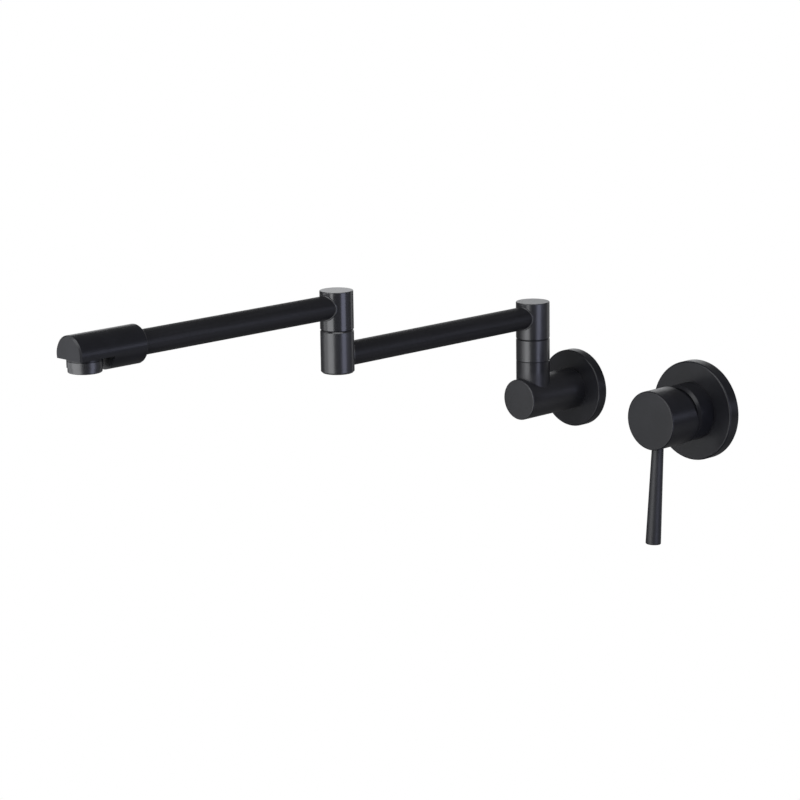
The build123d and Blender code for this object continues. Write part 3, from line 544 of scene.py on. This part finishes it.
def finish_tree(tree, material, *geometries):
    """Ends a tree in these geometries, joined and with their material."""
    joined = tree.nodes.new("GeometryNodeJoinGeometry")
    for geometry in geometries:
        tree.links.new(geometry, joined.inputs["Geometry"])
    plain = fed_node(tree, "GeometryNodeRealizeInstances", {"Geometry": joined.outputs["Geometry"]})
    dressed = fed_node(tree, "GeometryNodeSetMaterial", {
        "Geometry": plain.outputs["Geometry"], "Material": material,
    })
    fed_node(tree, "NodeGroupOutput", {"Geometry": dressed.outputs["Geometry"]})


def thread_tree():
    """Tree that winds a ridge on a turned core that stands along Z, and lets it run out at both ends."""
    tree, given, identifiers = new_tree("thread", ("Crest", "Depth", "Pitch", "Start", "Length"), "Steps")
    root = math_node(tree, "SUBTRACT", given["Crest"], given["Depth"])
    run = math_node(tree, "SUBTRACT", given["Length"], given["Pitch"])
    turns = math_node(tree, "DIVIDE", run, given["Pitch"])
    spiral = fed_node(tree, "GeometryNodeCurveSpiral", {
        "Resolution": given["Steps"], "Rotations": turns, "Start Radius": root, "End Radius": root,
        "Height": run,
    })
    along = tree.nodes.new("GeometryNodeSplineParameter").outputs["Factor"]
    from_end = math_node(tree, "MINIMUM", along, math_node(tree, "SUBTRACT", 1.0, along))
    rise = math_node(tree, "MULTIPLY", math_node(tree, "MULTIPLY", from_end, turns), 2.0)
    ridge = fed_node(tree, "GeometryNodeCurveToMesh", {
        "Curve": upright(tree, spiral.outputs["Curve"]),
        "Profile Curve": circle_of(tree, RIDGE_SIDES, given["Depth"]),
        "Scale": math_node(tree, "MINIMUM", rise, 1.0),
        "Fill Caps": True,
    })
    height = math_node(tree, "MULTIPLY_ADD", given["Pitch"], 0.5, given["Start"])
    lift = fed_node(tree, "ShaderNodeCombineXYZ", {"Z": height})
    raised = fed_node(tree, "GeometryNodeTransform", {
        "Geometry": ridge.outputs["Mesh"], "Translation": lift.outputs["Vector"],
    })
    finish_tree(tree, given["Material"], given["Geometry"], raised.outputs["Geometry"])
    return tree, identifiers


def honeycomb_tree():
    """Tree that sets one hollow cell out in rows, keeps those within reach and adds the ring round them."""
    tree, given, identifiers = new_tree("honeycomb", ("Pitch", "Reach", "Radius", "Rim", "Height"), "Rows")
    gaps = math_node(tree, "SUBTRACT", given["Rows"], 1.0)
    column_step = math_node(tree, "MULTIPLY", given["Pitch"], sin(radians(60)))
    grid = fed_node(tree, "GeometryNodeMeshGrid", {
        "Size X": math_node(tree, "MULTIPLY", gaps, column_step),
        "Size Y": math_node(tree, "MULTIPLY", gaps, given["Pitch"]),
        "Vertices X": given["Rows"],
        "Vertices Y": given["Rows"],
    })
    index = tree.nodes.new("GeometryNodeInputIndex").outputs["Index"]
    column = math_node(tree, "FLOOR", math_node(tree, "DIVIDE", index, given["Rows"]))
    odd = math_node(tree, "MODULO", column, 2.0)
    half_pitch = math_node(tree, "MULTIPLY", given["Pitch"], 0.5)
    shift = fed_node(tree, "ShaderNodeCombineXYZ", {"Y": math_node(tree, "MULTIPLY", odd, half_pitch)})
    staggered = fed_node(tree, "GeometryNodeSetPosition", {
        "Geometry": grid.outputs["Mesh"], "Offset": shift.outputs["Vector"],
    })
    position = tree.nodes.new("GeometryNodeInputPosition").outputs["Position"]
    from_middle = fed_node(tree, "ShaderNodeVectorMath", {0: position}, operation="LENGTH")
    too_far = math_node(tree, "GREATER_THAN", from_middle.outputs["Value"], given["Reach"])
    kept = fed_node(tree, "GeometryNodeDeleteGeometry", {
        "Geometry": staggered.outputs["Geometry"], "Selection": too_far,
    })
    cells = fed_node(tree, "GeometryNodeInstanceOnPoints", {
        "Points": kept.outputs["Geometry"], "Instance": given["Geometry"],
    })
    half_rim = math_node(tree, "MULTIPLY", given["Rim"], 0.5)
    ring_line = circle_of(tree, RIM_STEPS, math_node(tree, "SUBTRACT", given["Radius"], half_rim))
    section = fed_node(tree, "GeometryNodeCurvePrimitiveQuadrilateral", {
        "Width": given["Rim"], "Height": given["Height"],
    })
    ring = fed_node(tree, "GeometryNodeCurveToMesh", {
        "Curve": upright(tree, ring_line), "Profile Curve": section.outputs["Curve"],
    })
    finish_tree(tree, given["Material"], cells.outputs["Instances"], ring.outputs["Mesh"])
    return tree, identifiers


def bead_tree():
    """Tree that runs a round bead along the line where a tube meets an upright column."""
    tree, given, identifiers = new_tree("bead", ("Tube", "Column", "Bead"), "Steps")
    position = tree.nodes.new("GeometryNodeInputPosition").outputs["Position"]
    sides = fed_node(tree, "ShaderNodeSeparateXYZ", {"Vector": position})
    aside = math_node(tree, "POWER", math_node(tree, "ABSOLUTE", sides.outputs["X"]), 2.0)
    left_over = math_node(tree, "SUBTRACT", math_node(tree, "POWER", given["Column"], 2.0), aside)
    out = fed_node(tree, "ShaderNodeCombineXYZ", {"Z": math_node(tree, "SQRT", left_over)})
    on_column = fed_node(tree, "GeometryNodeSetPosition", {
        "Geometry": circle_of(tree, given["Steps"], given["Tube"]), "Offset": out.outputs["Vector"],
    })
    bead = fed_node(tree, "GeometryNodeCurveToMesh", {
        "Curve": on_column.outputs["Geometry"], "Profile Curve": circle_of(tree, BEAD_SIDES, given["Bead"]),
    })
    finish_tree(tree, given["Material"], given["Geometry"], bead.outputs["Mesh"])
    return tree, identifiers


def into_room(middle, start):
    """Place for a piece made along Z: its foot at a depth in the wall, its top towards the room."""
    return Matrix.Translation((middle.x, start, middle.z)) @ Matrix.Rotation(radians(90), 4, "X")


def threaded_piece(name, node, outline, stretches, steps):
    """A turned core with a ridge wound on each of its threaded stretches, in the place of a node."""
    piece = new_piece(name, turned_mesh(name, outline, steps))
    tree, identifiers = thread_tree()
    for crest, depth, pitch, start, run in stretches:
        grown(piece, tree, identifiers, {
            "Crest": crest, "Depth": depth, "Pitch": pitch, "Start": start, "Length": run, "Steps": steps,
            "Material": material_named("brass"),
        })
    settled(piece, into_room(middle_of(node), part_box(node)[1].y), "wall_unit", "brass", node)


class POTFILLER_OT_finishes(bpy.types.Operator):
    """Gives each piece from the frame the finish of its material slot"""

    bl_idname = "pot_filler.finishes"
    bl_label = "Finishes"

    def execute(self, context):
        made = finish_materials(context.scene.pot_filler_finish)
        context.scene["pot_filler_slots"] = {slot: material.name for slot, material in made.items()}
        for subpart in frame["record"]["subparts"]:
            node = subpart["node"]
            kind = SPECIAL_FINISH.get(node, subpart["material_slot"])
            for slot in frame["nodes"][node].material_slots:
                slot.material = made[kind]
        return {"FINISHED"}


class POTFILLER_OT_inlet_nipple(bpy.types.Operator):
    """Cuts the two pipe threads of the inlet nipple"""

    bl_idname = "pot_filler.inlet_nipple"
    bl_label = "Inlet nipple"

    def execute(self, context):
        threads = context.scene.pot_filler_threads
        low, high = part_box("wall_nipple")
        whole = high.y - low.y
        shank_start = high.y
        shank_end = high.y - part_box("spout_flange")[0].y
        crest = radius_of("wall_nipple")
        root = crest - threads.inlet_depth
        shank = crest - threads.shank_drop
        bore = threads.inlet_bore / 2
        edge = threads.end_chamfer
        outline = [
            (bore, 0.0), (root - edge, 0.0), (root, edge), (root, shank_start), (shank, shank_start),
            (shank, shank_end), (root, shank_end), (root, whole - edge), (root - edge, whole), (bore, whole),
        ]
        stretches = [
            (crest, threads.inlet_depth, threads.inlet_pitch, 0.0, shank_start),
            (crest, threads.inlet_depth, threads.inlet_pitch, shank_end, whole - shank_end),
        ]
        threaded_piece("threaded_nipple", "wall_nipple", outline, stretches, threads.steps)
        return {"FINISHED"}


class POTFILLER_OT_tails(bpy.types.Operator):
    """Cuts the threads of the hot, cold and mixed tails"""

    bl_idname = "pot_filler.tails"
    bl_label = "Tails"

    def execute(self, context):
        threads = context.scene.pot_filler_threads
        for node in ("hot_tail", "cold_tail", "mixed_tail"):
            low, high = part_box(node)
            whole = high.y - low.y
            out_of_body = high.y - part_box("valve_body")[1].y
            crest = radius_of(node)
            stud = crest - threads.shank_drop
            depth = threads.tail_depth
            root = crest - depth
            bore = threads.tail_bore / 2
            edge = threads.end_chamfer
            outline = [
                (bore, 0.0), (root - edge, 0.0), (root, edge), (root, out_of_body),
                (stud - depth, out_of_body), (stud - depth, whole), (bore, whole),
            ]
            stretches = [
                (crest, depth, threads.tail_pitch, 0.0, out_of_body),
                (stud, depth, threads.tail_pitch, out_of_body, whole - out_of_body),
            ]
            threaded_piece(f"threaded_{node}", node, outline, stretches, threads.steps)
        return {"FINISHED"}


class POTFILLER_OT_honeycomb(bpy.types.Operator):
    """Sets out the fine cells of the honeycomb under the spout"""

    bl_idname = "pot_filler.honeycomb"
    bl_label = "Honeycomb"

    def execute(self, context):
        aerator = context.scene.pot_filler_aerator
        low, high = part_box("aerator_honeycomb")
        height = high.z - low.z
        radius = radius_of("aerator_honeycomb")
        pitch = aerator.cell + aerator.web
        to_corner = 0.5 / cos(radians(30))
        inner, outer = aerator.cell * to_corner, (pitch - aerator.play) * to_corner
        cell = [(inner, -height / 2), (outer, -height / 2), (outer, height / 2), (inner, height / 2)]
        piece = new_piece("fine_honeycomb", turned_mesh("fine_honeycomb", cell, CELL_SIDES))
        tree, identifiers = honeycomb_tree()
        grown(piece, tree, identifiers, {
            "Pitch": pitch, "Reach": radius - aerator.rim / 2 - outer, "Rows": 2 * round(radius / pitch) + 3,
            "Radius": radius, "Rim": aerator.rim, "Height": height,
            "Material": material_named("aerator_plastic"),
        })
        place = Matrix.Translation(middle_of("aerator_honeycomb"))
        settled(piece, place, "upper_arm", "aerator_plastic", "aerator_honeycomb")
        return {"FINISHED"}


def merged_copy(node):
    """A copy of a node's mesh with its loose triangles merged, and the normals at their corners."""
    packed = frame["nodes"][node].data
    work = bmesh.new()
    work.from_mesh(packed)
    bmesh.ops.remove_doubles(work, verts=work.verts, dist=MERGE)
    return work, [corner.vector.copy() for corner in packed.corner_normals]


def reshaped(work, normals, name, body, node, *finishes):
    """Puts a reshaped copy of a node in its place, with the normals and the finishes that belong to it."""
    mesh = mesh_of(work, name)
    if len(mesh.loops) != len(normals):
        raise RuntimeError(f"{node} lost faces when its doubles were merged")
    for finish in finishes:
        mesh.materials.append(material_named(finish))
    mesh.normals_split_custom_set(normals)
    piece = new_piece(name, mesh)
    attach(piece, body)
    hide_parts(node)


class POTFILLER_OT_elbow_lip(bpy.types.Operator):
    """Makes the bevel on the lip of the elbow steeper, so that it catches the light"""

    bl_idname = "pot_filler.elbow_lip"
    bl_label = "Elbow lip"

    def execute(self, context):
        work, normals = merged_copy("elbow_base")
        axis = middle_of("elbow_base")
        outer = radius_of("elbow_base")
        flatter, steeper = BEVEL_SLOPE
        bevel = {
            face for face in work.faces
            if flatter < face.normal.z < steeper
            and outward(face.calc_center_median(), axis).length > outer - BEVEL_ROOM
        }
        if not bevel:
            raise RuntimeError("the elbow's lip has no bevel")
        heights = [vert.co.z for face in bevel for vert in face.verts]
        bottom, top = min(heights), max(heights)
        rim = {vert for face in bevel for vert in face.verts if vert.co.z > (bottom + top) / 2}
        for vert in rim:
            vert.co += outward(vert.co, axis).normalized() * context.scene.pot_filler_edges.lip_shift
        slope = outer - max(outward(vert.co, axis).length for vert in rim)
        corners = [(face in bevel, loop.vert.co) for face in work.faces for loop in face.loops]
        for number, (on_bevel, point) in enumerate(corners):
            if on_bevel:
                level = outward(point, axis).normalized() * (top - bottom)
                normals[number] = (level + Vector((0.0, 0.0, slope))).normalized()
        reshaped(work, normals, "elbow_base_shell", "lower_arm", "elbow_base", COLUMNS)
        return {"FINISHED"}


def ring_of(work, level, radius, axis):
    """The points of a mesh on a level ring about an upright axis."""
    return {
        vert for vert in work.verts
        if abs(vert.co.z - level) < CLOSE and abs(outward(vert.co, axis).length - radius) < CLOSE
    }


def moved_step(work, axis, shift):
    """Moves the step that ends the spout head's flat, and gives the flat's height and the step's place."""
    facing_room = [
        face for face in work.faces if face.normal.y < -FACING and face.calc_center_median().z < axis
    ]
    step = max(face.calc_center_median().y for face in facing_room)
    rim = {vert for face in facing_room for vert in face.verts if abs(vert.co.y - step) < CLOSE}
    for vert in rim:
        vert.co.y = step - shift
    return max(vert.co.z for vert in rim), step - shift


def finished_boss(work, front, flat, step):
    """Sets the finish of the head's front face and of the boss under it, and gives the boss's points."""
    points = set()
    for face in work.faces:
        middle = face.calc_center_median()
        if middle.z < flat - CLOSE and middle.y < step - CLOSE:
            face.material_index = HEAD_FINISHES.index(COLUMNS)
            points.update(face.verts)
        elif middle.y < front + CLOSE:
            face.material_index = HEAD_FINISHES.index(HEAD_FACE)
    return points


def raised_flat(work, normals, axis, flat, step, rise, kept):
    """Slides the round side's points up along their circles, most at the flat, so that it ends higher."""
    inside = radius_of("spout_head") - SIDE_DEPTH
    turned = {}
    for vert in work.verts:
        across = hypot(vert.co.x, vert.co.z - axis)
        on_side = across > inside and (vert.co.z > flat - CLOSE or vert.co.y > step - CLOSE)
        part = 1 - abs(vert.co.z - flat) / SIDE_REACH
        if vert in kept or not on_side or part < 0:
            continue
        before = atan2(vert.co.z - axis, vert.co.x)
        vert.co.z += rise * part
        vert.co.x = copysign(sqrt(across ** 2 - (vert.co.z - axis) ** 2), vert.co.x)
        turned[vert] = before - atan2(vert.co.z - axis, vert.co.x)
    corners = [loop.vert for face in work.faces for loop in face.loops]
    for number, vert in enumerate(corners):
        if vert in turned and normals[number].z > -FACING:
            normals[number].rotate(Matrix.Rotation(turned[vert], 3, "Y"))


def seamed_wall(work, normals, lower, upper, axis, gap, depth):
    """Closes the gap between two rings of points with a wall that has a seam at its foot."""
    def bearing(vert):
        way = outward(vert.co, axis)
        return atan2(way.y, way.x)

    foot, head = sorted(lower, key=bearing), sorted(upper, key=bearing)
    if len(foot) != len(head):
        raise RuntimeError("the boss of the aerator has no clean edge")
    ways = [outward(vert.co, axis).normalized() for vert in foot]
    up = Vector((0.0, 0.0, 1.0))
    rings = [
        foot,
        [work.verts.new(vert.co - way * depth) for vert, way in zip(foot, ways)],
        [work.verts.new(vert.co - way * depth + up * gap) for vert, way in zip(foot, ways)],
        [work.verts.new(vert.co + up * gap) for vert in foot],
        head,
    ]
    for first, second, facing in zip(rings, rings[1:], (up, None, -up, None)):
        for here in range(len(foot)):
            after = (here + 1) % len(foot)
            work.faces.new((first[here], first[after], second[after], second[here]))
            normals.extend(facing or ways[number] for number in (here, after, after, here))


class POTFILLER_OT_spout_head(bpy.types.Operator):
    """Moves the flat under the spout head, cuts the seam above the aerator and sets their finishes"""

    bl_idname = "pot_filler.spout_head"
    bl_label = "Spout head"

    def execute(self, context):
        edges = context.scene.pot_filler_edges
        work, normals = merged_copy("spout_head")
        axis = middle_of("spout_head").z
        outlet = middle_of("aerator_washer")
        flat, step = moved_step(work, axis, edges.step_shift)
        boss = finished_boss(work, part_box("spout_head")[0].y, flat, step)
        radius = max(outward(vert.co, outlet).length for vert in boss)
        circle = ring_of(work, flat, radius, outlet)
        bmesh.ops.split_edges(work, edges=[edge for edge in work.edges if circle.issuperset(edge.verts)])
        circle = ring_of(work, flat, radius, outlet)
        upper = {vert for vert in circle if not any(face.material_index for face in vert.link_faces)}
        raised_flat(work, normals, axis, flat, step, edges.flat_rise, circle)
        for vert in upper:
            vert.co.z += edges.flat_rise
        seamed_wall(work, normals, circle - upper, upper, outlet, edges.seam_gap, edges.seam_depth)
        reshaped(work, normals, "spout_head_shell", "upper_arm", "spout_head", *HEAD_FINISHES)
        return {"FINISHED"}


class POTFILLER_OT_aerator_ring(bpy.types.Operator):
    """Makes the ring below the thread of the aerator wider"""

    bl_idname = "pot_filler.aerator_ring"
    bl_label = "Aerator ring"

    def execute(self, context):
        work, normals = merged_copy("aerator_housing")
        axis = middle_of("aerator_housing")
        thread = radius_of("aerator_washer") + THREAD_ROOM
        for vert in work.verts:
            way = outward(vert.co, axis)
            if way.length > thread:
                vert.co += way.normalized() * context.scene.pot_filler_edges.ring_shift
        reshaped(work, normals, "aerator_ring_shell", "upper_arm", "aerator_housing", COLUMNS)
        return {"FINISHED"}


class POTFILLER_OT_beads(bpy.types.Operator):
    """Runs a brazed bead round each arm where it enters a column"""

    bl_idname = "pot_filler.beads"
    bl_label = "Beads"

    def execute(self, context):
        beads = context.scene.pot_filler_beads
        tree, identifiers = bead_tree()
        for body, tube, mouths in (
            ("lower_arm", "lower_arm_tube", (("shoulder_head", 90), ("elbow_base", -90))),
            ("upper_arm", "upper_arm_tube", (("elbow_head", 90),)),
        ):
            piece = new_piece(f"{body}_beads", bpy.data.meshes.new(f"{body}_beads"))
            for column, turn in mouths:
                crossing = middle_of(column)
                crossing.z = middle_of(tube).z
                place = Matrix.Translation(crossing) @ Matrix.Rotation(radians(turn), 4, "X")
                piece.data.transform(place.inverted())
                grown(piece, tree, identifiers, {
                    "Tube": radius_of(tube), "Column": radius_of(column), "Bead": beads.radius,
                    "Steps": beads.steps, "Material": material_named(COLUMNS),
                })
                piece.data.transform(place)
            settled(piece, Matrix(), body, "satin_black")
        return {"FINISHED"}


def direction(azimuth, elevation):
    """The way from the pot filler towards a point at these angles, as the camera's angles are measured."""
    return Vector((sin(azimuth) * cos(elevation), -cos(azimuth) * cos(elevation), sin(elevation)))


def set_camera(stage):
    """Camera at the angle of the photograph."""
    back = direction(stage.azimuth, stage.elevation)
    level = Vector((cos(stage.azimuth), sin(stage.azimuth), 0.0))
    above = back.cross(level)
    right = cos(stage.roll) * level + sin(stage.roll) * above
    up = cos(stage.roll) * above - sin(stage.roll) * level
    data = bpy.data.cameras.new("camera")
    data.sensor_width = SENSOR_WIDTH
    data.lens = stage.focal_pixels * SENSOR_WIDTH / IMAGE_PIXELS
    data.clip_end = FAR_CLIP
    camera = new_piece("camera", data)
    turn = Matrix((right, up, back)).transposed()
    camera.matrix_world = Matrix.Translation(Vector(stage.aim) + back * stage.distance) @ turn.to_4x4()
    bpy.context.scene.camera = camera


def soft_panel(name, place, azimuth, elevation, width, height, brightness, tone):
    """A soft light at a place, turned as if it stood at these angles and faced the pot filler."""
    data = bpy.data.lights.new(name, "AREA")
    data.shape = "RECTANGLE"
    data.size, data.size_y = width, height
    data.energy = brightness * pi * width * height
    data.color = tone
    light = new_piece(name, data)
    away = direction(radians(azimuth), radians(elevation))
    light.matrix_world = Matrix.Translation(place) @ away.to_track_quat("Z", "Y").to_matrix().to_4x4()
    light.visible_camera = False


def set_background(stage):
    """A white background for the camera, and a dim room for all that is reflected."""
    world = bpy.data.worlds.new("studio")
    bpy.context.scene.world = world
    world.use_nodes = True
    tree = world.node_tree
    white = (*stage.backdrop, 1.0)
    room = tree.nodes["Background"]
    room.inputs["Color"].default_value = white
    room.inputs["Strength"].default_value = stage.ambient
    seen = fed_node(tree, "ShaderNodeBackground", {"Color": white})
    path = tree.nodes.new("ShaderNodeLightPath")
    either = fed_node(tree, "ShaderNodeMixShader", {
        "Fac": path.outputs["Is Camera Ray"], 1: room.outputs["Background"], 2: seen.outputs["Background"],
    })
    tree.links.new(either.outputs["Shader"], tree.nodes["World Output"].inputs["Surface"])
    bpy.context.scene.view_settings.view_transform = "Standard"


def set_floor(stage):
    """A pale floor that only the camera sees."""
    work = bmesh.new()
    bmesh.ops.create_grid(work, x_segments=1, y_segments=1, size=stage.floor_reach)
    floor = new_piece("floor", mesh_of(work, "floor"))
    floor.location.z = cad_low.z - stage.floor_drop
    material = bpy.data.materials.new("pale floor")
    material.use_nodes = True
    tree = material.node_tree
    glow = fed_node(tree, "ShaderNodeEmission", {"Color": (*stage.backdrop, 1.0)})
    tree.links.new(glow.outputs["Emission"], tree.nodes["Material Output"].inputs["Surface"])
    floor.data.materials.append(material)
    floor.visible_glossy = False
    floor.visible_diffuse = False
    floor.visible_shadow = False


class POTFILLER_OT_stage(bpy.types.Operator):
    """Sets the camera, the soft lights, the pale floor and the background"""

    bl_idname = "pot_filler.stage"
    bl_label = "Stage"

    def execute(self, context):
        stage = context.scene.pot_filler_stage
        set_camera(stage)
        set_background(stage)
        set_floor(stage)
        for name, (brightness, place, azimuth, elevation, width, height, tint) in PANELS.items():
            soft_panel(name, place, azimuth, elevation, width, height,
                       getattr(stage, brightness), getattr(stage, tint))
        return {"FINISHED"}


class POTFILLER_PT_panel(bpy.types.Panel):
    """Lists the settings and the steps that dress the pot filler"""

    bl_idname = "POTFILLER_PT_panel"
    bl_label = "Pot filler"
    bl_space_type = "VIEW_3D"
    bl_region_type = "UI"
    bl_category = "Pot filler"

    def draw(self, context):
        for name, group in SETTINGS:
            box = self.layout.box()
            box.label(text=group.__doc__)
            for setting in group.__annotations__:
                box.prop(getattr(context.scene, name), setting)
        for step in STEPS:
            self.layout.operator(step.bl_idname)


SETTINGS = (
    ("pot_filler_finish", PotFillerFinish),
    ("pot_filler_threads", PotFillerThreads),
    ("pot_filler_aerator", PotFillerAerator),
    ("pot_filler_edges", PotFillerEdges),
    ("pot_filler_beads", PotFillerBeads),
    ("pot_filler_stage", PotFillerStage),
)
STEPS = (POTFILLER_OT_finishes, POTFILLER_OT_inlet_nipple, POTFILLER_OT_tails, POTFILLER_OT_honeycomb,
         POTFILLER_OT_elbow_lip, POTFILLER_OT_spout_head, POTFILLER_OT_aerator_ring, POTFILLER_OT_beads,
         POTFILLER_OT_stage)


def register():
    """Adds the settings, the steps and the panel to Blender."""
    for name, group in SETTINGS:
        bpy.utils.register_class(group)
        setattr(bpy.types.Scene, name, PointerProperty(type=group))
    for step in (*STEPS, POTFILLER_PT_panel):
        bpy.utils.register_class(step)


def unregister():
    """Takes the panel, the steps and the settings out again."""
    for step in reversed((*STEPS, POTFILLER_PT_panel)):
        bpy.utils.unregister_class(step)
    for name, group in reversed(SETTINGS):
        delattr(bpy.types.Scene, name)
        bpy.utils.unregister_class(group)


def main():
    """Runs every step."""
    register()
    for step in STEPS:
        family, call = step.bl_idname.split(".")
        getattr(getattr(bpy.ops, family), call)()


if __name__ == "__main__":
    main()
